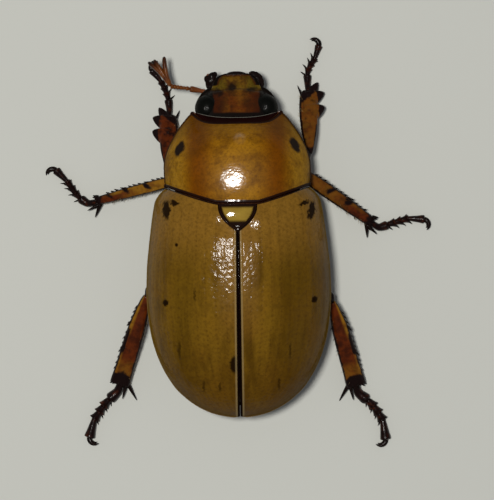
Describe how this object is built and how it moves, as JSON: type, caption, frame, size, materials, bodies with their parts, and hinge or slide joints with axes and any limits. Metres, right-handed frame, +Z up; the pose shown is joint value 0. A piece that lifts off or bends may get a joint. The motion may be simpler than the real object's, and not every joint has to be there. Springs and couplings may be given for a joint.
{
  "type": "grapevine beetle",
  "caption": "Life-size tan beetle with a domed shield, two wing cases, spiny legs and a fanned feeler, standing on its feet.",
  "frame": {"origin": "centre of the model's box on the floor, the feet at z = 0", "axes": "-Y towards the beetle's head, +X its left, +Z up"},
  "size_m": [0.0275, 0.0293, 0.01],
  "materials": {
    "wing_case": "glossy horn-like tan",
    "shield": "glossy orange tan",
    "head_shell": "glossy olive to red brown",
    "eye": "glossy black",
    "mouthpart": "glossy near black",
    "feeler": "satin red brown",
    "underside": "glossy dark chestnut with fine hairs",
    "leg": "glossy orange brown with dark ends"
  },
  "bodies": {
    "root": {"abdomen": "underside", "antenna_club_left": "feeler", "antenna_club_right": "feeler", "antenna_left": "feeler", "antenna_right": "feeler", "elytron_left": "wing_case", "elytron_right": "wing_case", "eye_left": "eye", "eye_right": "eye", "foreleg_left_coxa": "underside", "foreleg_left_femur": "leg", "foreleg_left_tarsus": "leg", "foreleg_left_tibia": "leg", "foreleg_right_coxa": "underside", "foreleg_right_femur": "leg", "foreleg_right_tarsus": "leg", "foreleg_right_tibia": "leg", "head": "head_shell", "hindleg_left_coxa": "underside", "hindleg_left_femur": "leg", "hindleg_left_tarsus": "leg", "hindleg_left_tibia": "leg", "hindleg_right_coxa": "underside", "hindleg_right_femur": "leg", "hindleg_right_tarsus": "leg", "hindleg_right_tibia": "leg", "mandible_left": "mouthpart", "mandible_right": "mouthpart", "midleg_left_coxa": "underside", "midleg_left_femur": "leg", "midleg_left_tarsus": "leg", "midleg_left_tibia": "leg", "midleg_right_coxa": "underside", "midleg_right_femur": "leg", "midleg_right_tarsus": "leg", "midleg_right_tibia": "leg", "palp_left": "mouthpart", "palp_right": "mouthpart", "prothorax": "shield", "pygidium": "underside", "scutellum": "shield", "thorax": "underside"}
  },
  "joints": []
}
